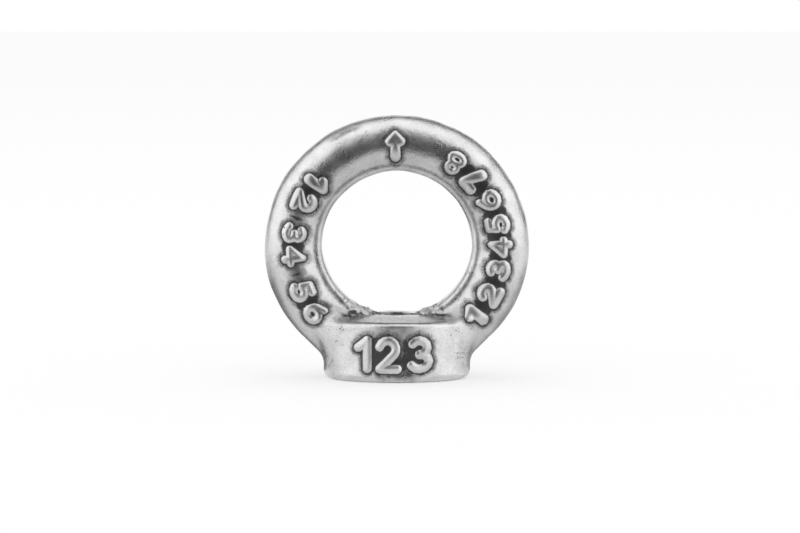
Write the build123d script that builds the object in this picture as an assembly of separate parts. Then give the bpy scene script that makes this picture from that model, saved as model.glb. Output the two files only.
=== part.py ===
from build123d import *
import os
from math import acos, cos, degrees, radians, sin, sqrt

# Lifting eye nut, cast in one piece from stainless steel and tapped for an M10 stud.
# Millimetres. +Z runs up the thread, the eye's axis lies along Y and the front faces -Y.
# The origin is the centre of the collar's flat seat.

# Thread
thread_diameter = 10.0
thread_pitch = 1.5
seat_entry_width = 0.5  # of the chamfer at the seat, past the thread's outside
crown_entry_width = 0.4  # of the chamfer under the eye, past the thread's core

# Collar
collar_diameter = 25.0
rim_height = 10.0  # of the collar's outer top edge
crown_rise = 1.0  # of the collar's top round the thread, above its rim
seat_edge_radius = 1.4
rim_edge_radius = 0.8

# Ring
ring_diameter = 45.0
ring_centre_height = 22.05
bar_diameter = 9.6  # of the ring's round bar

# Land: the low rib round the inside of the eye, where the mould parts
land_height = 0.25
land_width = 6.0

# Shoulders and legs, which carry the ring down into the collar
shoulder_drop = 5.0  # degrees below the ring's centre at which each shoulder starts
leg_slope = 45.0  # degrees from the horizontal
landing_height = 3.5  # at which the outside of a leg meets the side of the collar
root_radius = 2.0  # of the fillet where the ring grows out of the collar

# Floor of the eye, over the thread
floor_radius = 20.0

collar_radius = collar_diameter / 2
crown_height = rim_height + crown_rise
bar_radius = bar_diameter / 2
core_radius = (thread_diameter - thread_pitch) / 2


def collar():
    """The round collar: a rounded seat edge, an upright side and a top that rises to the thread."""
    seat_corner, rim_corner = (collar_radius, 0), (collar_radius, rim_height)
    outline = Polyline(
        (0, 0), seat_corner, rim_corner, (core_radius, crown_height), (0, crown_height), (0, 0)
    )
    half = make_face(outline)
    half = fillet(half.vertices().sort_by_distance(seat_corner)[0], seat_edge_radius)
    half = fillet(half.vertices().sort_by_distance(rim_corner)[0], rim_edge_radius)
    return revolve(Plane.XZ * half, Axis.Z)


def land():
    """A round section inside the bar's, whose inner side stands proud of it as the land."""
    edge_y = land_width / 2
    edge_x = -sqrt(bar_radius**2 - edge_y**2)
    rise = edge_x + bar_radius + land_height
    radius = (edge_y**2 + rise**2) / (2 * rise)
    return Pos(edge_x - rise + radius, 0) * Circle(radius)


def carried(section, path):
    """A section carried along an anticlockwise path in the plane of the ring.

    Its X points away from the middle of the eye.
    """
    start, along = path @ 0, path % 0
    outwards = along.cross(Vector(0, -1, 0))
    return sweep(Plane(origin=start, x_dir=outwards, z_dir=along) * section, path=path)


def leg_reach():
    """How far the outside of a leg, a straight line, passes from the middle of the ring."""
    slope = radians(leg_slope)
    return collar_radius * sin(slope) + (ring_centre_height - landing_height) * cos(slope)


def ring_line():
    """The middle of the ring's bar: leg, shoulder, crown, shoulder and leg, each tangent to the next.

    A shoulder's radius is the one that touches both the crown's circle and the leg's line.
    """
    ring_radius = ring_diameter / 2
    drop, slope = radians(shoulder_drop), radians(leg_slope)
    turn = 90 - shoulder_drop - leg_slope
    share = cos(radians(turn))
    shoulder_radius = (leg_reach() - ring_radius * share) / (1 - share)
    offset = ring_radius - shoulder_radius
    middle = (offset * cos(drop), ring_centre_height - offset * sin(drop))
    shoulder = CenterArc(middle, shoulder_radius - bar_radius, leg_slope - 90, turn)
    knee = shoulder @ 0
    foot_height = rim_height / 2
    run = (knee.Y - foot_height) / sin(slope)
    leg = Line((knee.X - run * cos(slope), foot_height), knee)
    crown = CenterArc(
        (0, ring_centre_height), ring_radius - bar_radius, -shoulder_drop, 180 + 2 * shoulder_drop
    )
    right = leg + shoulder
    return Plane.XZ * (right + crown + mirror(right, Plane.YZ))


def floor_line():
    """The middle of the bar at the eye's floor, from the middle of one leg to that of the other.

    The floor's crest is level with the collar's top on the thread's axis.
    """
    radius = floor_radius + land_height + bar_radius
    centre_height = crown_height + floor_radius
    leg_distance = leg_reach() - bar_radius + (centre_height - ring_centre_height) * cos(radians(leg_slope))
    half_turn = leg_slope - degrees(acos(leg_distance / radius))
    return Plane.XZ * CenterArc((0, centre_height), radius, 270 - half_turn, 2 * half_turn)


def thread_hole():
    """The core of the thread, right through the collar, with a 45 degree entry at both ends."""
    seat_entry_radius = thread_diameter / 2 + seat_entry_width
    crown_entry_radius = core_radius + crown_entry_width
    outline = Polyline(
        (0, 0),
        (seat_entry_radius, 0),
        (core_radius, seat_entry_radius - core_radius),
        (core_radius, crown_height - crown_entry_width),
        (crown_entry_radius, crown_height),
        (crown_entry_radius, ring_centre_height),
        (0, ring_centre_height),
        (0, 0),
    )
    return revolve(Plane.XZ * make_face(outline), Axis.Z)


def eye_nut():
    """The casting, with its roots rounded before the floor and the land are added, then tapped.

    The floor is only the inner half of the bar, so that it stays above the seat.
    """
    bar = Circle(bar_radius)
    ring, base = carried(bar, ring_line()), collar()
    casting = ring + base
    casting = fillet(new_edges(ring, base, combined=casting), root_radius)
    inner_half = Pos(-bar_radius, 0) * Rectangle(bar_diameter, bar_diameter)
    casting += carried((bar + land()) & inner_half, floor_line())
    casting += carried(land(), ring_line())
    return casting - thread_hole()


os.makedirs("parts", exist_ok=True)
export_step(eye_nut(), "parts/eye_nut.step")
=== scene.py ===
from math import cos, pi, radians, sin

import bpy
import numpy as np
from bpy.props import FloatProperty, IntProperty, PointerProperty, StringProperty
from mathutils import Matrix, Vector


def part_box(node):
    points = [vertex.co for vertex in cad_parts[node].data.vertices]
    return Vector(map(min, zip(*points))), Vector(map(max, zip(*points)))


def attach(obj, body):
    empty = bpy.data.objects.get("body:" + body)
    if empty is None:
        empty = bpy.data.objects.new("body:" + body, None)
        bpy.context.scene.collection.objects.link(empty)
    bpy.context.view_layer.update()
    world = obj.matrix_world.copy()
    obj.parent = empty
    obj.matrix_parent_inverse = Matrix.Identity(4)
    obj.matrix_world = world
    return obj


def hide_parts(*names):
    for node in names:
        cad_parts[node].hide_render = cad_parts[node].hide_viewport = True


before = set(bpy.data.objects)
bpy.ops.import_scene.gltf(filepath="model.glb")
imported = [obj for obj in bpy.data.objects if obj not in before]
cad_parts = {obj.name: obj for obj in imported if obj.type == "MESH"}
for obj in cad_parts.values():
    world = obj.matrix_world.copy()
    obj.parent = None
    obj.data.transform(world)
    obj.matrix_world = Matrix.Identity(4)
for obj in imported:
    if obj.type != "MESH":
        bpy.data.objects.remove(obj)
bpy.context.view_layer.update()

bl_info = {
    "name": "Lifting Eye Nut",
    "version": (1, 0, 0),
    "blender": (4, 5, 0),
    "location": "3D View > Sidebar > Eye Nut",
    "description": "Dresses the cast lifting eye nut and sets up its studio",
    "category": "Object",
}

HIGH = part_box("eye_nut")[1]  # the solid's greatest X, Y and Z, in metres
MM = 0.001

# The shape functions work in millimetres, in the frame's own axes: the thread runs up +Z from the
# seat, the eye's axis is Y and the front faces -Y. Angles about the eye run anticlockwise from +X
# as seen from the front.

# Ring
RING_RADIUS = HIGH.x / MM
EYE_HEIGHT = HIGH.z / MM - RING_RADIUS
EYE_RADIUS = 12.65  # level with the eye's middle, to the crest of the land
SHOULDER_RADIUS = 20.2
SHOULDER_DROP = radians(5.0)  # below the eye's middle, where each shoulder starts
BAR_DEPTH = 4.8  # half of the bar's depth along the eye's axis
LAND_HEIGHT = 0.3
LAND_HALF_WIDTH = 3.2
LAND_EDGE = 1.1  # radius
LAND_END = 17.0  # from the middle of the eye, inside the bar
LAND_BLEND = 0.55  # width of the soft foot between the land and the bar
FLOOR_RADIUS = 20.0  # of the eye's floor over the thread
MIDDLE = 17.7  # radius of the circle from which the casting's skin is measured
LEAST_POINTS = 50000  # that a sound skin has after the hole is cut

# Collar
COLLAR_RADIUS = HIGH.y / MM
CROWN_HEIGHT = 11.0  # of the top round the thread
SEAT_EDGE = 1.4  # radius
RIM_EDGE = 0.8  # radius
FRONT_FLAT = 0.45  # how far the front is cut back under the number
FRONT_SPREAD = 0.62  # half of the angle over which it is, in radians
CROWN_COSINE = 0.99  # of the slope from the rim up to the thread

# Thread
THREAD_RADIUS = 5.0
CORE_RADIUS = 4.25
PITCH = 1.5
SEAT_ENTRY = 0.5  # width past the thread's outside
CROWN_ENTRY = 0.4  # width past the core


def linear(code):
    """An sRGB hex value turned to a linear colour with full opacity."""
    values = np.array([int(code[i : i + 2], 16) for i in (1, 3, 5)]) / 255
    values = np.where(values <= 0.04045, values / 12.92, ((values + 0.055) / 1.055) ** 2.4)
    return (*values.tolist(), 1.0)


# ---------------------------------------------------------------- shape of the casting


def smooth_step(low, high, value):
    """0 below low, 1 above high and 3t^2 - 2t^3 between. It falls where low is the greater."""
    t = np.clip((value - low) / (high - low), 0, 1)
    return t * t * (3 - 2 * t)


def bell(value, middle, spread):
    """exp(-t^2), for t the distance from the middle in spreads."""
    return np.exp(-(((value - middle) / spread) ** 2))


def plateau(value, middle, spread):
    """exp(-t^4), which is flatter than a bell on top and steeper at its sides."""
    return np.exp(-(((value - middle) / spread) ** 4))


def rounded_max(a, b, radius):
    """The greater of two distances, with the edge between their faces rounded to a radius."""
    outside = np.hypot(np.maximum(a + radius, 0), np.maximum(b + radius, 0))
    return outside - radius + np.minimum(np.maximum(a, b) + radius, 0)


def smooth_min(a, b, width):
    """The lesser of two distances, less width / 4 * (1 - gap / width)^2 where the gap between
    them is under the width."""
    return np.minimum(a, b) - 0.25 * width * np.maximum(1 - np.abs(a - b) / width, 0) ** 2


def wrapped(angle):
    """An angle brought between -pi and pi."""
    return (angle + pi) % (2 * pi) - pi


def rim_reach(angle):
    """Radius of the ring's outside about the eye's middle.

    A full circle over the crown, then a shoulder arc that starts 5 degrees below the middle, then
    a flank at 45 degrees, which is R / cos(a - 45) for a the angle from straight down. Inside the
    collar it falls away, to no less than 19, so that it stays hidden.
    """
    down = np.degrees(np.abs(wrapped(angle + pi / 2)))
    offset = RING_RADIUS - SHOULDER_RADIUS
    along = offset * np.cos(np.radians(90 - down) - SHOULDER_DROP)
    arc = along + np.sqrt(SHOULDER_RADIUS**2 - offset**2 + along**2)
    flank_distance = SHOULDER_RADIUS + offset * cos(pi / 4 - SHOULDER_DROP)
    flank = flank_distance / np.cos(np.radians(down - 45))
    flank = flank - 0.05 * np.maximum(33 - down, 0) ** 2
    reach = np.where(down >= 85, RING_RADIUS, np.where(down >= 45, arc, flank))
    return np.maximum(reach, 19.0)


def eye_reach(angle):
    """Radius of the eye's inside, to the crest of the land.

    EYE_RADIUS at the sides, a little more over the top and less towards the legs. Below, it is
    the floor z = crown + x^2 / (2 * FLOOR_RADIUS), which meets it smoothly.
    """
    rise = np.sin(angle)
    ring = EYE_RADIUS + np.where(rise > 0, 0.3, 1.15) * rise
    depth, bend = EYE_HEIGHT - CROWN_HEIGHT + 0.03, np.cos(angle) ** 2 / (2 * FLOOR_RADIUS)
    floor = 2 * depth / np.maximum(np.sqrt(rise**2 + 4 * bend * depth) - rise, 0.1)
    return smooth_min(ring, np.minimum(floor, 20), 0.4)


def polar(x, z):
    """Radius and angle about the middle of the eye."""
    return np.hypot(x, z - EYE_HEIGHT), np.arctan2(z - EYE_HEIGHT, x)


def bar_distance(radius, y, inner, outer):
    """An oval from the foot of the land to the rim, BAR_DEPTH to each side.

    The distance is the point's length in half widths of the oval, less 1, times the lesser one.
    """
    half = (outer - inner - LAND_HEIGHT) / 2
    middle = outer - half
    return (np.hypot((radius - middle) / half, y / BAR_DEPTH) - 1) * np.minimum(half, BAR_DEPTH)


def land_distance(radius, y, inner):
    """The low rib round the inside of the eye: a slab with rounded edges, which ends in the bar."""
    slab = rounded_max(inner - radius, np.abs(y) - LAND_HALF_WIDTH, LAND_EDGE)
    return np.maximum(slab, radius - LAND_END)


def collar_distance(x, y, z):
    """A cylinder with a rounded seat edge and a top that rises like a cone to the thread.

    The front is a little flatter than round, which leaves room for the raised number.
    """
    side = np.hypot(x, y)
    flatter = FRONT_FLAT * plateau(np.arctan2(x, -y), 0, FRONT_SPREAD)
    top = z - CROWN_HEIGHT + (side - CORE_RADIUS) / (COLLAR_RADIUS - CORE_RADIUS)
    wall = rounded_max(side - COLLAR_RADIUS + flatter, -z, SEAT_EDGE)
    return rounded_max(wall, top * CROWN_COSINE, RIM_EDGE)


def ring_distance(x, y, z):
    """The bar and the land, with a soft foot between them."""
    radius, angle = polar(x, z)
    inner, outer = eye_reach(angle), rim_reach(angle)
    bar, land = bar_distance(radius, y, inner, outer), land_distance(radius, y, inner)
    return smooth_min(bar, land, LAND_BLEND)


def fillet_width(x, y, z):
    """The fillet is wide on the collar's top and down the front of a leg, narrower where the
    middle of a leg meets the collar's side and least over the thread."""
    side = 0.6 + 1.3 * smooth_step(5, 9, z)
    front = smooth_step(2.5, 5.0, np.abs(y)) * smooth_step(8, 10.5, np.abs(x))
    return 0.3 + (side + (3.4 - side) * front) * smooth_step(3, 7, np.abs(x))


def casting_distance(x, y, z):
    """About how far a point lies outside the casting. The ring runs into the collar in a fillet."""
    return smooth_min(ring_distance(x, y, z), collar_distance(x, y, z), fillet_width(x, y, z))


def place(angle, turn, length):
    """The point at a length from the bar's middle circle. Turn 0 points away from the eye."""
    radius = MIDDLE + length * np.cos(turn)
    return radius * np.cos(angle), -length * np.sin(turn), EYE_HEIGHT + radius * np.sin(angle)


def skin_length(angle, turn):
    """Length from the middle circle to the skin, found by halving.

    There is only one such length, because no part of the section hides another from its middle.
    """
    low = np.zeros(np.broadcast(angle, turn).shape)
    high = np.full_like(low, 22.0)
    for _ in range(24):
        half = (low + high) / 2
        inside = casting_distance(*place(angle, turn, half)) < 0
        low, high = np.where(inside, half, low), np.where(inside, high, half)
    return low


def detail(x, y, z):
    """How many points the skin needs at a place: most on the front, where the relief is, round
    the collar's edges and the thread's mouth, and few on the flat seat."""
    side = np.hypot(x, y)
    ring = 0.6 + 1.1 * smooth_step(-1.0, 2.0, -y)
    wall = 0.5 + 2.9 * smooth_step(11, 11.8, side) * smooth_step(6.0, 8.0, -y)
    edges = bell(side, 12.1, 0.7) * (3.0 * bell(z, 9.6, 0.6) + 1.5 * bell(z, 0.5, 0.6))
    mouth = plateau(np.abs(x), 6.3, 2.6) * plateau(z, 11.6, 1.8) * plateau(y, 0, 5.5)
    collar = wall + 0.5 * smooth_step(8, 9, z) + edges + 1.6 * mouth
    above = smooth_step(10.2, 13.0, z)
    return np.where(z < 0.03, 0.12, ring * above + collar * (1 - above))


def skin_grid(rounds, turns):
    """Angles and turns of the skin's grid.

    Rounds are a little closer together over the collar. Turns are spaced along the section by
    how much detail there is.
    """
    fine = np.linspace(-pi / 2, 1.5 * pi, 2001)
    down = np.abs(wrapped(fine + pi / 2))
    density = 1 + 0.2 * (1 - smooth_step(radians(42), radians(52), down))
    share = np.concatenate(([0], np.cumsum((density[1:] + density[:-1]) / 2)))
    angle = np.interp(np.arange(rounds) / rounds, share / share[-1], fine)[:, None]

    turn = np.linspace(0, 2 * pi, 361)[None, :]
    x, y, z = place(angle, turn, skin_length(angle, turn))
    step = np.sqrt(np.diff(x) ** 2 + np.diff(y) ** 2 + np.diff(z) ** 2)
    middle = [(values[:, 1:] + values[:, :-1]) / 2 for values in (x, y, z)]
    share = np.cumsum(step * detail(*middle), axis=1)
    share = np.hstack((np.zeros((rounds, 1)), share / share[:, -1:])) * (1 - 1e-9)
    row = np.arange(rounds)[:, None]
    wanted = row + np.arange(turns)[None, :] / turns
    turn = np.interp(wanted.ravel(), (row + share).ravel(), np.tile(turn, (rounds, 1)).ravel())
    return np.broadcast_to(angle, (rounds, turns)), turn.reshape(rounds, turns)


def waves(x, y, z, count, shortest, longest, seed):
    """A gentle unevenness about 0: sines along random directions, added up and divided by the
    root of their count."""
    rng = np.random.default_rng(seed)
    total = np.zeros_like(x)
    for _ in range(count):
        direction = rng.normal(size=3)
        direction *= 2 * pi / rng.uniform(shortest, longest) / np.linalg.norm(direction)
        phase = rng.uniform(0, 2 * pi)
        total += np.sin(x * direction[0] + y * direction[1] + z * direction[2] + phase)
    return total / np.sqrt(count)


# ---------------------------------------------------------------- raised digits and the arrow


def bow(cx, cy, rx, ry, start, end, steps=9):
    """Points along an oval arc, from one angle in degrees to another."""
    angle = np.radians(np.linspace(start, end, steps))
    return list(zip(cx + rx * np.cos(angle), cy + ry * np.sin(angle)))


# Strokes of each digit in a box one high, from the baseline up
DIGITS = {
    "1": [[(0.0, 0.74), (0.3, 1.0), (0.3, 0.0)]],
    "2": [[*bow(0.3, 0.7, 0.28, 0.3, 165, -38), (0.03, 0.0), (0.62, 0.0)]],
    "3": [bow(0.27, 0.75, 0.26, 0.25, 150, -90), bow(0.27, 0.26, 0.31, 0.26, 90, -150)],
    "4": [[(0.46, 0.0), (0.46, 1.0), (0.0, 0.3), (0.66, 0.3)]],
    "5": [[(0.56, 1.0), (0.12, 1.0), (0.08, 0.56), *bow(0.27, 0.31, 0.31, 0.31, 112, -150)]],
    "6": [
        [(0.5, 1.0), *bow(0.4, 0.36, 0.4, 0.5, 130, 190, 4)],
        bow(0.32, 0.31, 0.32, 0.33, 0, 360, 13),
    ],
    "7": [[(0.0, 1.0), (0.58, 1.0), (0.2, 0.0)]],
    "8": [bow(0.3, 0.78, 0.25, 0.26, 0, 360, 11), bow(0.3, 0.25, 0.31, 0.28, 0, 360, 13)],
}

# Half the width of each digit's strokes on the ring, less where they close round a hole
HALF_WIDTHS = {
    "1": 0.94,
    "2": 0.84,
    "3": 0.74,
    "4": 0.7,
    "5": 0.74,
    "6": 0.68,
    "7": 0.92,
    "8": 0.62,
}

# Where the digits stand on the ring, in degrees: 1 to 8 up one side and 1 to 6 down the other
RIGHT_ANGLES = [-41, -26, -11.5, 1, 13.5, 27.5, 42, 56]
LEFT_ANGLES = [139.5, 153, 171.5, 184, 204, 218]
RING_MARK_RADIUS = 17.45
RING_DIGIT = (2.95, 3.5)  # height, and the width of a box one wide

# Where the digits stand on the collar's front: x of the middle of each
COLLAR_DIGITS = {"1": -5.7, "2": -1.4, "3": 3.9}
COLLAR_MARK_HEIGHT = 4.8
COLLAR_DIGIT = (4.75, 5.0)
COLLAR_STROKE = 0.8
COLLAR_RELIEF = 0.95  # of a ring mark's height

ARROW_ANGLE = 90.8
# Each stroke of the arrow: where it starts and ends, as (across, radius), and its half widths
ARROW = [
    ((0, 19.65), (-0.78, 18.17), 0.4, 0.9),
    ((0, 19.65), (0.78, 18.17), 0.4, 0.9),
    ((0, 19.65), (0, 18.17), 0.4, 1.0),
    ((0, 17.8), (0, 15.65), 0.78, 1.08),
]

FAR_OUTSIDE = -9.0  # depth in the marks of a point that is nowhere near them


def strokes(text, height, width):
    """A digit's strokes as segments [x0, y0, x1, y1] about the middle of its box."""
    lines = [np.array(line) * (width, height) for line in DIGITS[text]]
    points = np.vstack(lines)
    centre = (points.min(0) + points.max(0)) / 2
    return np.vstack([np.hstack((line[:-1] - centre, line[1:] - centre)) for line in lines])


def stroke_distance(u, v, segments):
    """Distance to the nearest segment."""
    nearest = np.full(u.shape, 99.0)
    for x0, y0, x1, y1 in segments:
        dx, dy = x1 - x0, y1 - y0
        t = np.clip(((u - x0) * dx + (v - y0) * dy) / (dx * dx + dy * dy), 0, 1)
        nearest = np.minimum(nearest, np.hypot(u - x0 - t * dx, v - y0 - t * dy))
    return nearest


def stroke_pull(u, v, segments, reach=0.7, step=0.4):
    """How strongly strokes surround a point, as a sum of pulls and the sum's two components.

    Each step of a stroke pulls towards itself with step * exp(-d / reach). Pulls from opposite
    sides cancel in the components but not in the sum.
    """
    total = np.zeros((3, *u.shape))
    for x0, y0, x1, y1 in segments:
        length = np.hypot(x1 - x0, y1 - y0)
        count = max(1, round(length / step))
        for t in (np.arange(count) + 0.5) / count:
            du, dv = x0 + (x1 - x0) * t - u, y0 + (y1 - y0) * t - v
            distance = np.hypot(du, dv) + 1e-6
            weight = length / count * np.exp(-distance / reach)
            total += weight * np.array([np.ones_like(u), du / distance, dv / distance])
    return total


def ring_marks():
    """Each digit on the ring: its angle in degrees, its strokes and half their width."""
    rng = np.random.default_rng(11)
    height, width = RING_DIGIT
    marks = []
    for angle, digit in zip(RIGHT_ANGLES + LEFT_ANGLES, "12345678123456"):
        segments = strokes(digit, height + rng.uniform(-0.1, 0.1), width)
        slant = radians(rng.uniform(-5, 5))
        spin = np.array([[cos(slant), sin(slant)], [-sin(slant), cos(slant)]])
        segments = np.hstack((segments[:, :2] @ spin, segments[:, 2:] @ spin))
        marks.append((angle, segments, HALF_WIDTHS[digit] + rng.uniform(-0.03, 0.03)))
    return marks


def arrow_depth(across, out):
    """How deep points lie in the arrow that shows the load's direction, out being the radius.

    A spade from a small tip to two round shoulders, over a stem that widens to a round foot.
    Each is a stroke whose radius changes evenly along it.
    """
    depth = np.full(across.shape, FAR_OUTSIDE)
    for (x0, r0), (x1, r1), start, end in ARROW:
        dx, dr = x1 - x0, r1 - r0
        t = np.clip(((across - x0) * dx + (out - r0) * dr) / (dx * dx + dr * dr), 0, 1)
        distance = np.hypot(across - x0 - t * dx, out - r0 - t * dr)
        depth = np.maximum(depth, start + (end - start) * t - distance)
    return depth


def pillow(depth):
    """Height of a mark over its ground in mm: a short steep edge, then a dome 2t - t^2 that
    rises with the depth in the mark."""
    t = np.clip(depth / 0.85, 0, 1)
    return 0.17 * smooth_step(-0.17, 0.1, depth) + 0.31 * (2 * t - t * t)


def mark_depths(x, y, z):
    """Depth in the raised marks in mm, on the ring and on the collar's front, and how strongly
    strokes surround each point."""
    radius, angle = polar(x, z)
    degree = np.degrees(angle)
    ring, collar = np.full(x.shape, FAR_OUTSIDE), np.full(x.shape, FAR_OUTSIDE)
    pull = np.zeros((3, *x.shape))
    off_legs = (degree > -66) | (degree < -114)
    on_ring = (y < -0.8) & (radius > 13.3) & (radius < 22) & off_legs
    for middle, segments, stroke in ring_marks():
        away = wrapped(angle - radians(middle))
        near = on_ring & (np.abs(away) < radians(15))
        u, v = away[near] * RING_MARK_RADIUS, RING_MARK_RADIUS - radius[near]
        ring[near] = np.maximum(ring[near], stroke - stroke_distance(u, v, segments))
        pull[:, near] += stroke_pull(u, v, segments)
    near = on_ring & (np.abs(degree - ARROW_ANGLE) < 10)
    across = (radians(ARROW_ANGLE) - angle[near]) * RING_MARK_RADIUS
    ring[near] = np.maximum(ring[near], arrow_depth(across, radius[near]))
    near = (y < -6) & (z < 10.2) & (np.abs(x) < 10.8)
    for digit, middle in COLLAR_DIGITS.items():
        segments = strokes(digit, *COLLAR_DIGIT)
        u, v = x[near] - middle, z[near] - COLLAR_MARK_HEIGHT
        collar[near] = np.maximum(collar[near], COLLAR_STROKE - stroke_distance(u, v, segments))
        pull[:, near] += stroke_pull(u, v, segments)
    return ring, collar, pull[0] - np.hypot(pull[1], pull[2])


def hollow_scale_and_shade(x, y, z, outside, enclosed):
    """How much scale and painted shade lies in the hollows round the marks, outside being the
    distance to them.

    It lines the foot of every mark and fills what strokes surround. Round the marks it thins out
    over 1.25 to 1.85 mm. A faint band of scale and painted reflection lies behind each row of
    digits on the ring, and a patch of scale and painted shade under the number on the collar.
    """
    radius, angle = polar(x, z)
    reach = 1.25 + 0.6 * smooth_step(17.5, 15.5, radius)
    # Scale and painted shade: a wide fringe round each mark and a dark line at its foot
    scale = np.maximum(
        0.64 * smooth_step(reach, 0.3, outside), 0.95 * smooth_step(0.5, 0.1, outside)
    )
    # Scale and painted shade where strokes surround the ground
    scale = np.maximum(scale, smooth_step(0.04, 0.26, enclosed))
    # Patch of scale and painted shade under the collar's number
    patch = 0.8 * plateau(x, 0, 4.5) * plateau(z, 2.4, 2.1) * (y < -8)
    degree = np.degrees(angle)
    degree = degree + 360 * (degree < -90)
    right = smooth_step(-52, -46, degree) * smooth_step(62, 56, degree)
    left = smooth_step(134, 140, degree) * smooth_step(227, 221, degree)
    # Band of scale and painted reflection of the dark front, along each row of digits
    band = 0.5 * np.maximum(right, left) * plateau(radius, 17.3, 1.9) * (y < -1)
    return np.maximum(np.maximum(scale, patch), band)


# ---------------------------------------------------------------- meshes


def mesh_object(name, points, faces):
    """A mesh object at the origin from points in millimetres."""
    mesh = bpy.data.meshes.new(name)
    mesh.from_pydata(points * MM, [], faces)
    mesh.validate()
    piece = bpy.data.objects.new(name, mesh)
    bpy.context.scene.collection.objects.link(piece)
    return piece


def grid_faces(rows, columns, closed):
    """Four-sided faces of a grid whose columns close on themselves, and its rows too if closed."""
    i, j = np.meshgrid(np.arange(rows if closed else rows - 1), np.arange(columns), indexing="ij")
    a, b = i * columns + j, (i + 1) % rows * columns + j
    c, d = (i + 1) % rows * columns + (j + 1) % columns, i * columns + (j + 1) % columns
    return np.stack((a, b, c, d), axis=-1).reshape(-1, 4)


def skin_normal(x, y, z, step=0.02):
    """The direction in which the distance to the casting grows fastest: the change in it over
    a small step each way along X, Y and Z, brought to length 1."""
    slope = np.stack(
        [
            casting_distance(x + step, y, z) - casting_distance(x - step, y, z),
            casting_distance(x, y + step, z) - casting_distance(x, y - step, z),
            casting_distance(x, y, z + step) - casting_distance(x, y, z - step),
        ]
    )
    return slope / np.linalg.norm(slope, axis=0)


def casting_points(rounds, turns):
    """The skin with its unevenness, its rough roots, the torn edge of its mouth and its relief.

    The first three move a point along the skin's normal and mostly sink it. The marks then push
    it straight to the front.
    """
    angle, turn = skin_grid(rounds, turns)
    x, y, z = place(angle, turn, skin_length(angle, turn))
    root = bell(np.abs(x), 6.8, 2.0) * bell(z, 11.6, 1.5) * bell(y, 0, 5.0)
    mouth = bell(np.abs(x), 4.7, 0.9) * bell(z, 11.5, 0.7) * bell(y, 0, 3.8)
    shift = 0.042 * (waves(x, y, z, 24, 3.0, 11.0, 3) - 1.9) * smooth_step(0.3, 1.6, z)
    shift += 0.16 * root * (waves(x, y, z, 40, 0.7, 2.4, 5) - 0.8)
    shift += 0.3 * mouth * (waves(x, y, z, 40, 0.8, 1.8, 8) - 0.4)
    points = np.stack((x, y, z)) + skin_normal(x, y, z) * np.minimum(shift, 0.12)
    ring, collar, _ = mark_depths(*points)
    points[1] -= pillow(ring) + COLLAR_RELIEF * pillow(collar)
    return points.reshape(3, -1).T


def thread_points(rows, columns, bottom=-0.8, top=12.8):
    """The tapped hole as a closed cutter, which stands out of the casting at both ends.

    Radius is the 60 degree thread's, its outside less 1.73 for each millimetre along from the
    middle of the groove, held to the core; at the seat and under the eye a 45 degree entry is
    wider.
    """
    height = np.linspace(bottom, top, rows)[:, None]
    turn = np.linspace(0, 2 * pi, columns, endpoint=False)[None, :]
    along = np.abs((height / PITCH - turn / (2 * pi)) % 1 - 0.5) * PITCH
    radius = np.clip(THREAD_RADIUS + 0.05 - 1.732 * np.maximum(along - 0.09, 0), CORE_RADIUS, None)
    entry = THREAD_RADIUS + SEAT_ENTRY - np.minimum(height, 3)
    crown = CORE_RADIUS + CROWN_ENTRY - np.abs(np.minimum(height, CROWN_HEIGHT) - CROWN_HEIGHT)
    radius = np.maximum(radius, np.maximum(entry, crown))
    over = smooth_step(CROWN_HEIGHT - CROWN_ENTRY, CROWN_HEIGHT, height)
    radius = radius * (1 - over) + np.minimum(radius, CORE_RADIUS + CROWN_ENTRY) * over
    x, y = radius * np.cos(turn), radius * np.sin(turn)
    points = np.stack((x, y, np.broadcast_to(height, x.shape)), axis=-1).reshape(-1, 3)
    return np.vstack((points, [[0, 0, bottom], [0, 0, top]]))


def thread_cutter(rows=180, columns=72):
    """The cutter's mesh: its grid and a fan of triangles over each end."""
    points = thread_points(rows, columns)
    faces = [tuple(f) for f in grid_faces(rows, columns, closed=False)[:, ::-1].tolist()]
    ring = np.arange(columns)
    bottom = np.stack((np.full(columns, rows * columns), (ring + 1) % columns, ring), axis=1)
    top = ring + (rows - 1) * columns
    top = np.stack((np.full(columns, rows * columns + 1), top, np.roll(top, -1)), axis=1)
    return mesh_object("cutter", points, faces + bottom.tolist() + top.tolist())


def signed_volume(points, faces):
    """Volume inside four-sided faces, as the sum of the tetrahedra from the origin to each half
    of each face."""
    a, b, c, d = (points[faces[:, i]] for i in range(4))
    return float((np.cross(b - a, c - a) * a).sum() + (np.cross(c - a, d - a) * a).sum()) / 6


def cut_hole(piece, cutter):
    """Cuts the hole and bakes the result into the piece's own mesh."""
    tap = piece.modifiers.new("Tap", "BOOLEAN")
    tap.operation = "DIFFERENCE"
    tap.solver = "MANIFOLD"
    tap.object = cutter
    graph = bpy.context.evaluated_depsgraph_get()
    mesh = bpy.data.meshes.new_from_object(piece.evaluated_get(graph))
    piece.modifiers.clear()
    old = piece.data
    piece.data = mesh
    mesh.name = "casting"
    mesh.materials.clear()
    bpy.data.meshes.remove(old)
    bpy.data.objects.remove(cutter)


# ---------------------------------------------------------------- wear, written on the skin

# Where the skin is pitted, seen from the front: x, z and how far it spreads
PITTED = [
    (-9.8, 6.5, 1.7),
    (-9.3, 9.3, 1.1),
    (10.6, 4.4, 1.9),
    (9.6, 8.0, 1.5),
    (8.0, 12.6, 1.4),
    (-8.6, 13.0, 1.0),
    (10.4, 14.2, 1.8),
    (-10.6, 14.6, 1.6),
    (12.6, 18.0, 1.2),
]

# The dull streak where the crown was ground
STREAK_ANGLE, STREAK_SPREAD = 114, 9.5  # degrees
STREAK_RADIUS, STREAK_HALF_WIDTH = 21.35, 0.55


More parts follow.
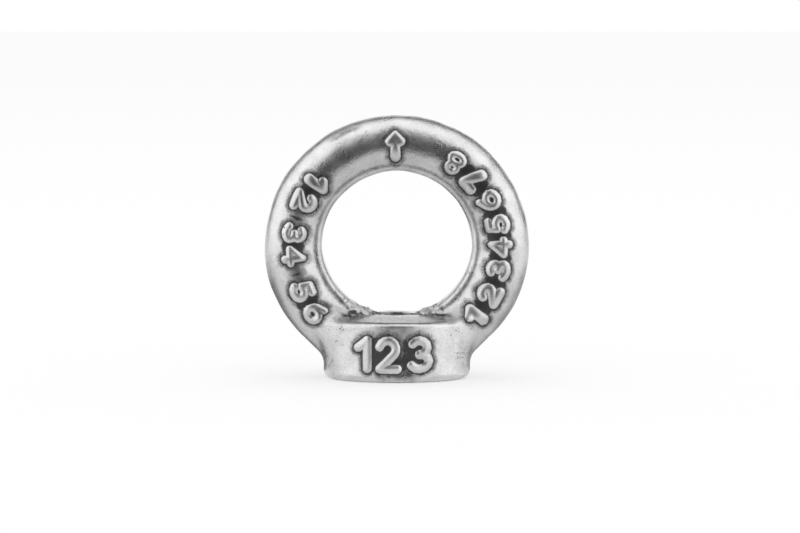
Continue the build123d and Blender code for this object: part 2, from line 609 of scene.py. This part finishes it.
def scale_and_painted_shade(x, y, z, hollow):
    """Scale and painted shade in the hollows round the marks, painted shade in the roots
    beside the thread's mouth, a painted dark reflection along the collar's rim where it passes
    under the eye, the dull ground streak and painted shade in the crease at the land's foot."""
    radius, angle = polar(x, z)
    ring, collar = ring_distance(x, y, z), collar_distance(x, y, z)
    # Painted shade in the roots, where the ring's legs run into the collar's top
    root = smooth_step(0.06, 0.4, np.minimum(ring, collar)) * smooth_step(8.6, 10.2, z)
    root = np.maximum(root, bell(np.abs(x), 7.2, 1.6) * bell(z, 11.0, 1.1))
    root = root * smooth_step(10.2, 8.6, np.abs(x)) * smooth_step(15, 13, z)
    # Painted reflection: a thin dark line along the rounding of the collar's rim
    rim = bell(np.hypot(x, y), 11.25, 0.5) * smooth_step(9.4, 8.0, np.abs(x))
    rim = rim * (z > 9.6) * (ring > 0.3)
    streak = plateau(np.degrees(angle), STREAK_ANGLE, STREAK_SPREAD) * (y < 0)
    streak = streak * bell(radius, STREAK_RADIUS, STREAK_HALF_WIDTH)
    darkened = np.maximum(hollow, np.maximum(0.85 * root, 0.7 * rim))
    darkened = np.maximum(darkened, 0.6 * streak)
    # Painted shade along the crease at the land's foot
    crease_shade = bell(radius - eye_reach(angle), 1.2, 0.65) * (ring < 0.1) * (np.abs(y) < 4.5)
    return np.maximum(darkened, 0.4 * crease_shade)


def skin_fields(x, y, z):
    """What the finish needs to know of each point, from 0 to 1.

    Scale and painted shade, crests of the marks, pitted skin, machined faces and the rugged
    roots beside the thread's mouth.
    """
    ring_mark, collar_mark, enclosed = mark_depths(x, y, z)
    mark = np.maximum(ring_mark, collar_mark)
    crest = smooth_step(0.0, 0.18, mark)
    hollow = hollow_scale_and_shade(x, y, z, -mark, enclosed)
    pitted = sum(np.exp(-((x - px) ** 2 + (z - pz) ** 2) / spread**2) for px, pz, spread in PITTED)
    bore = (np.hypot(x, y) < THREAD_RADIUS + 0.6) & (z < CROWN_HEIGHT + 0.3)
    rugged = plateau(np.abs(x), 6.6, 2.1) * plateau(z, 11.4, 1.5) * plateau(y, 0, 6.0)
    return {
        "pitted": np.minimum(pitted, 1),
        # Scale, with painted shade in the hollows, roots, rim line and crease
        "scale_and_shade": scale_and_painted_shade(x, y, z, hollow) * (1 - crest),
        "crest": crest,
        "machined": np.where(bore | (z < 0.02), 1.0, 0.0),
        "rugged": rugged,
    }


def mark_skin(mesh):
    """Writes each field as an attribute of the mesh's points."""
    flat = np.empty(len(mesh.vertices) * 3, np.float32)
    mesh.vertices.foreach_get("co", flat)
    x, y, z = (flat.reshape(-1, 3).astype(float) / MM).T
    for name, values in skin_fields(x, y, z).items():
        layer = mesh.attributes.new(name, "FLOAT", "POINT")
        layer.data.foreach_set("value", values.astype(np.float32))


# ---------------------------------------------------------------- materials


def add(tree, kind, links=None, **settings):
    """Adds a node, sets its properties and fills or links its inputs."""
    item = tree.nodes.new("ShaderNode" + kind)
    for name, value in settings.items():
        setattr(item, name, value)
    for key, value in (links or {}).items():
        socket = item.inputs[key]
        if isinstance(value, bpy.types.NodeSocket):
            tree.links.new(value, socket)
        else:
            socket.default_value = value
    return item


def maths(tree, operation, *terms):
    """A calculation with two or three terms."""
    return add(tree, "Math", dict(enumerate(terms)), operation=operation).outputs[0]


def ramp(tree, source, low, high, start=0.0, end=1.0, **settings):
    """Start where the source is low and end where it is high, held beyond both."""
    links = {0: source, 1: low, 2: high, 3: start, 4: end}
    return add(tree, "MapRange", links, **settings).outputs[0]


def mix(tree, factor, a, b, **settings):
    """From a to b as the factor goes from 0 to 1."""
    return add(tree, "Mix", {"Factor": factor, "A": a, "B": b}, **settings).outputs["Result"]


def new_material(name):
    """A material and its node tree, still empty."""
    material = bpy.data.materials.new(name)
    material.use_nodes = True
    tree = material.node_tree
    tree.nodes.clear()
    return material, tree


def cast_stainless(finish):
    """Investment-cast stainless steel, blasted and tumbled.

    A light neutral grey metal with a soft satin grain. It is clean and less grained on top of
    the marks, and dark with scale and painted shade in the hollows round them and in the roots.
    """
    material, tree = new_material("tumbled_cast_stainless")
    place_m = add(tree, "TexCoord").outputs["Object"]
    place_mm = add(tree, "Mapping", {0: place_m, "Scale": (1000, 1000, 1000)}).outputs[0]

    def noise(scale, detail, roughness):
        """Clouds, with the scale as features per millimetre."""
        links = {"Vector": place_mm, "Scale": scale, "Detail": detail, "Roughness": roughness}
        return add(tree, "TexNoise", links).outputs[0]

    def spots(scale, size):
        """Round spots in random cells, with the scale as cells per millimetre and the size as a
        spot's radius in cells."""
        cells = add(tree, "TexVoronoi", {"Vector": place_mm, "Scale": scale, "Randomness": 1.0})
        inside = maths(tree, "SUBTRACT", size, cells.outputs["Distance"])
        return ramp(tree, inside, 0.0, 0.08)

    def field(name):
        """One of the fields written on the skin."""
        return add(tree, "Attribute", attribute_name=name).outputs["Fac"]

    def bump(height, strength, depth, normal=None, **settings):
        """Height from 0 to 1 turned to a relief of a depth in millimetres."""
        links = {"Height": height, "Strength": strength, "Distance": depth * MM}
        if normal is not None:
            links["Normal"] = normal
        return add(tree, "Bump", links, **settings).outputs[0]

    scale_and_shade, crest, machined, rugged = map(field, ("scale_and_shade", "crest", "machined", "rugged"))
    skin, grain, cloud = noise(1.7, 3.0, 0.6), noise(5.5, 2.0, 0.6), noise(0.28, 3.0, 0.55)
    patch, lumps = noise(0.9, 2.0, 0.5), noise(0.95, 2.5, 0.55)

    # Pits here and there, and closer together where the skin is pitted
    pit = spots(1.25, ramp(tree, cloud, 0.5, 0.72, 0.02, 0.2))
    pit = maths(tree, "MAXIMUM", pit, spots(2.4, maths(tree, "MULTIPLY", field("pitted"), 0.3)))

    # Scale and painted shade, broken up by patches, by the grain and by the lumps of the roots
    broken = maths(tree, "MULTIPLY_ADD", patch, 0.5, scale_and_shade)
    broken = maths(tree, "ADD", grain, broken)
    mottle = ramp(tree, lumps, 0.38, 0.62, -0.65, 0.35)
    broken = maths(tree, "MULTIPLY_ADD", mottle, rugged, broken)
    scale = ramp(tree, broken, 0.95, 1.65, interpolation_type="SMOOTHSTEP")
    scale = maths(tree, "MAXIMUM", scale, pit)

    shade = ramp(tree, mix(tree, 0.5, cloud, grain), 0.35, 0.6)
    low, high = linear(finish.metal_low), linear(finish.metal_high)
    colour = mix(tree, shade, low, high, data_type="RGBA")
    # Scale and painted shade take the dark scale colour
    colour = mix(tree, scale, colour, linear(finish.scale_and_shade_colour), data_type="RGBA")

    rough = ramp(tree, cloud, 0.3, 0.7, finish.roughness - 0.03, finish.roughness + 0.05)
    rough = maths(tree, "MULTIPLY_ADD", crest, 0.09, rough)
    rough = maths(tree, "MULTIPLY_ADD", scale, 0.2, rough)
    rough = mix(tree, machined, rough, 0.24)

    # Mould skin and grain, less of both on crests and machined faces, then pits and the roots
    cast = ramp(tree, maths(tree, "MAXIMUM", machined, crest), 0.0, 1.0, 1.0, 0.25)
    normal = bump(skin, cast, 0.06)
    normal = bump(grain, cast, 0.04, normal)
    normal = bump(pit, 1.0, 0.06, normal, invert=True)
    normal = bump(lumps, rugged, 0.26, normal)
    # Turning marks 0.25 mm apart on the machined faces
    links = {"Vector": place_mm, "Scale": 1.26, "Distortion": 0.3}
    lathe = add(tree, "TexWave", links, wave_type="RINGS", rings_direction="Z").outputs["Fac"]
    normal = bump(lathe, machined, 0.006, normal)

    links = {"Base Color": colour, "Metallic": 1.0, "Roughness": rough, "Normal": normal}
    add(tree, "OutputMaterial", {"Surface": add(tree, "BsdfPrincipled", links).outputs[0]})
    return material


def seen_directly(tree):
    """1 for what the camera sees, also in a reflection or through glass, and 0 for lighting."""
    path = add(tree, "LightPath").outputs
    seen = maths(tree, "MAXIMUM", path["Is Camera Ray"], path["Is Glossy Ray"])
    return maths(tree, "MAXIMUM", seen, path["Is Transmission Ray"])


def floor_material():
    """Matt white sheet. The camera sees it as pure white, with half of the nut's soft shadow."""
    material, tree = new_material("white_sheet")
    colour = mix(tree, seen_directly(tree), linear("#DEDEDE"), linear("#FFFFFF"), data_type="RGBA")
    sheet = add(tree, "BsdfDiffuse", {"Color": colour}).outputs[0]
    white = add(tree, "Emission", {"Strength": 1.0}).outputs[0]
    share = maths(tree, "MULTIPLY", add(tree, "LightPath").outputs["Is Camera Ray"], 0.5)
    surface = add(tree, "MixShader", {0: share, 1: sheet, 2: white}).outputs[0]
    add(tree, "OutputMaterial", {"Surface": surface})
    return material


def card_material(name, colour):
    """A matt card, or the lit table, which is as bright as the surroundings at a grazing angle."""
    material, tree = new_material(name)
    if name == "lit_table":
        grazing = add(tree, "Fresnel", {"IOR": 1.5}).outputs[0]
        surface = add(tree, "Emission", {"Strength": mix(tree, grazing, linear(colour)[0], 1.2)})
    else:
        surface = add(tree, "BsdfDiffuse", {"Color": linear(colour)})
    add(tree, "OutputMaterial", {"Surface": surface.outputs[0]})
    return material


# ---------------------------------------------------------------- studio, in metres

AIM = Vector((0.54, 0.0, 18.77)) * MM
SENSOR_WIDTH = 36
LENS_PER_METRE = 265.19  # focal length in millimetres for each metre of distance
LAMP_HEIGHT = 1.3
LAMP_SIZE = 1.4
FLOOR_HALF_WIDTH = 4


def flat_object(name, corners, material):
    """An object of one face."""
    mesh = bpy.data.meshes.new(name)
    mesh.from_pydata(corners, [], [tuple(range(len(corners)))])
    mesh.materials.append(material)
    piece = bpy.data.objects.new(name, mesh)
    bpy.context.scene.collection.objects.link(piece)
    return piece


def level(x0, x1, y0, y1, z):
    """Corners of a level rectangle."""
    return [(x0, y0, z), (x1, y0, z), (x1, y1, z), (x0, y1, z)]


def upright(half_width, y, z0, z1):
    """Corners of an upright rectangle that runs along X."""
    return [(-half_width, y, z0), (half_width, y, z0), (half_width, y, z1), (-half_width, y, z1)]


def arch(y, inner, outer):
    """Corners of half a ring that stands on the floor."""
    turn = np.linspace(0, pi, 25)
    edges = [[(radius * cos(t), y, radius * sin(t)) for t in turn] for radius in (outer, inner)]
    return edges[0] + edges[1][::-1]


def cards():
    """Cards that give the metal its form, seen only in its reflections: behind the camera, on
    the floor and round the back, and two sheets of painted shadow beside the nut. The lit table
    stands for the floor."""
    floor_card = [(-0.045, -0.06), (-0.6, -1.0), (0.6, -1.0), (0.045, -0.06)]
    return [
        ("front_card", upright(0.6, -1.0, 0, 1.7), "#404040"),
        ("floor_card", [(x, y, 0.0004) for x, y in floor_card], "#404040"),
        ("lit_table", level(-0.5, 0.5, -0.5, 0.5, 0.0002), "#C8C8C8"),
        ("back_card", arch(1.0, 0.65, 1.75), "#101010"),
        ("low_card", upright(0.5, 1.2, 0.2, 0.6), "#FAFAFA"),
        # Painted shadow: grey sheets where the nut's shadow falls on the table, seen only in
        # reflections
        ("left_shade", level(-0.1, -0.012, 0.004, 0.12, 0.0006), "#7A7A7A"),
        ("right_shade", level(0.012, 0.1, 0.004, 0.12, 0.0006), "#A0A0A0"),
    ]


def light_world(scene, studio):
    """Even white light, a little brighter in reflections and pure white to the camera."""
    world = bpy.data.worlds.new("Studio")
    scene.world = world
    world.use_nodes = True
    tree = world.node_tree
    tree.nodes.clear()
    strength = mix(tree, seen_directly(tree), studio.surround, 1.0)
    glossy = add(tree, "LightPath").outputs["Is Glossy Ray"]
    strength = mix(tree, glossy, strength, studio.reflected)
    light = add(tree, "Background", {"Color": (1, 1, 1, 1), "Strength": strength})
    add(tree, "OutputWorld", {"Surface": light.outputs[0]})


def hang_softbox(scene, studio):
    """A soft lamp overhead, which the metal doesn't reflect."""
    lamp = bpy.data.lights.new("overhead", "AREA")
    lamp.size = LAMP_SIZE
    lamp.energy = studio.overhead * pi * lamp.size**2
    overhead = bpy.data.objects.new("overhead", lamp)
    overhead.location = (0, 0.1, LAMP_HEIGHT)
    overhead.visible_glossy = False
    scene.collection.objects.link(overhead)


def set_camera(scene, studio):
    """In front of the nut, a little above it. The nut is as large in the frame at any distance."""
    camera = bpy.data.objects.new("camera", bpy.data.cameras.new("camera"))
    scene.collection.objects.link(camera)
    direction = Vector((0, -cos(studio.elevation), sin(studio.elevation)))
    camera.location = AIM + direction * studio.distance
    camera.rotation_euler = direction.to_track_quat("Z", "Y").to_euler()
    camera.data.lens = LENS_PER_METRE * studio.distance
    camera.data.sensor_width = SENSOR_WIDTH
    camera.data.clip_start = 0.01
    scene.camera = camera


# ---------------------------------------------------------------- settings


class EyeNutShape(bpy.types.PropertyGroup):
    rounds: IntProperty(name="Rounds", description="Faces round the eye", default=752, min=96)
    turns: IntProperty(
        name="Turns", description="Faces round the bar's section", default=116, min=48
    )


class EyeNutFinish(bpy.types.PropertyGroup):
    metal_low: StringProperty(
        name="Metal, low", description="Darker cloud of the bare metal, sRGB hex", default="#D0CFD0"
    )
    metal_high: StringProperty(
        name="Metal, high",
        description="Lighter cloud of the bare metal, sRGB hex",
        default="#F7F6F7",
    )
    # Colour of the scale, also of the painted shade in the hollows, roots, rim line and crease
    scale_and_shade_colour: StringProperty(
        name="Scale", description="Dark scale left in the hollows, sRGB hex", default="#565556"
    )
    roughness: FloatProperty(
        name="Roughness",
        description="Roughness of the tumbled metal",
        default=0.28,
        min=0.05,
        max=1.0,
    )


class EyeNutStudio(bpy.types.PropertyGroup):
    distance: FloatProperty(
        name="Distance", description="From the camera to the nut", default=0.7, unit="LENGTH"
    )
    surround: FloatProperty(
        name="Surround", description="Level of the light from all round", default=0.92, min=0.0
    )
    reflected: FloatProperty(
        name="Reflected",
        description="Level of the surroundings in a reflection",
        default=1.08,
        min=0.0,
    )
    overhead: FloatProperty(
        name="Overhead", description="Radiance of the softbox overhead", default=0.3, min=0.0
    )
    elevation: FloatProperty(
        name="Elevation",
        description="Of the camera above level",
        default=radians(4.1),
        subtype="ANGLE",
    )


# ---------------------------------------------------------------- operators


class EYENUT_OT_casting(bpy.types.Operator):
    """Build the casting round its CAD solid: skin, relief, tapped hole and finish"""

    bl_idname = "eyenut.casting"
    bl_label = "Cast Eye Nut"

    def execute(self, context):
        shape = context.scene.eyenut_shape
        points = casting_points(shape.rounds, shape.turns)
        faces = grid_faces(shape.rounds, shape.turns, closed=True)
        if signed_volume(points, faces) < 0:
            faces = faces[:, ::-1]
        casting = mesh_object("casting", points, faces.tolist())
        cut_hole(casting, thread_cutter())
        mesh = casting.data
        mesh.shade_smooth()
        mesh.set_sharp_from_angle(angle=radians(38))
        mark_skin(mesh)
        mesh.materials.append(cast_stainless(context.scene.eyenut_finish))
        if len(mesh.vertices) < LEAST_POINTS:
            raise RuntimeError("the casting lost its skin")
        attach(casting, "root")
        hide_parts("eye_nut")
        return {"FINISHED"}


class EYENUT_OT_studio(bpy.types.Operator):
    """Set the nut on a pale floor in soft studio light, with the camera in front"""

    bl_idname = "eyenut.studio"
    bl_label = "Set Up Studio"

    def execute(self, context):
        scene, studio = context.scene, context.scene.eyenut_studio
        scene.view_settings.view_transform = "Standard"
        light_world(scene, studio)
        hang_softbox(scene, studio)
        width = FLOOR_HALF_WIDTH
        floor = flat_object("floor", level(-width, width, -width, width, 0), floor_material())
        for name, corners, colour in cards():
            card = flat_object(name, corners, card_material(name, colour))
            card.visible_camera = False
            card.visible_diffuse = False
            card.visible_shadow = False
        set_camera(scene, studio)
        return {"FINISHED"}


class EYENUT_PT_panel(bpy.types.Panel):
    bl_label = "Eye Nut"
    bl_idname = "EYENUT_PT_panel"
    bl_space_type = "VIEW_3D"
    bl_region_type = "UI"
    bl_category = "Eye Nut"

    def draw(self, context):
        scene, layout = context.scene, self.layout
        for group in (scene.eyenut_shape, scene.eyenut_finish, scene.eyenut_studio):
            for name in group.__annotations__:
                layout.prop(group, name)
        layout.operator("eyenut.casting")
        layout.operator("eyenut.studio")


CLASSES = (
    EyeNutShape,
    EyeNutFinish,
    EyeNutStudio,
    EYENUT_OT_casting,
    EYENUT_OT_studio,
    EYENUT_PT_panel,
)


def register():
    for item in CLASSES:
        bpy.utils.register_class(item)
    bpy.types.Scene.eyenut_shape = PointerProperty(type=EyeNutShape)
    bpy.types.Scene.eyenut_finish = PointerProperty(type=EyeNutFinish)
    bpy.types.Scene.eyenut_studio = PointerProperty(type=EyeNutStudio)


def unregister():
    del bpy.types.Scene.eyenut_studio
    del bpy.types.Scene.eyenut_finish
    del bpy.types.Scene.eyenut_shape
    for item in reversed(CLASSES):
        bpy.utils.unregister_class(item)


def main():
    register()
    bpy.ops.eyenut.casting()
    bpy.ops.eyenut.studio()


if __name__ == "__main__":
    main()
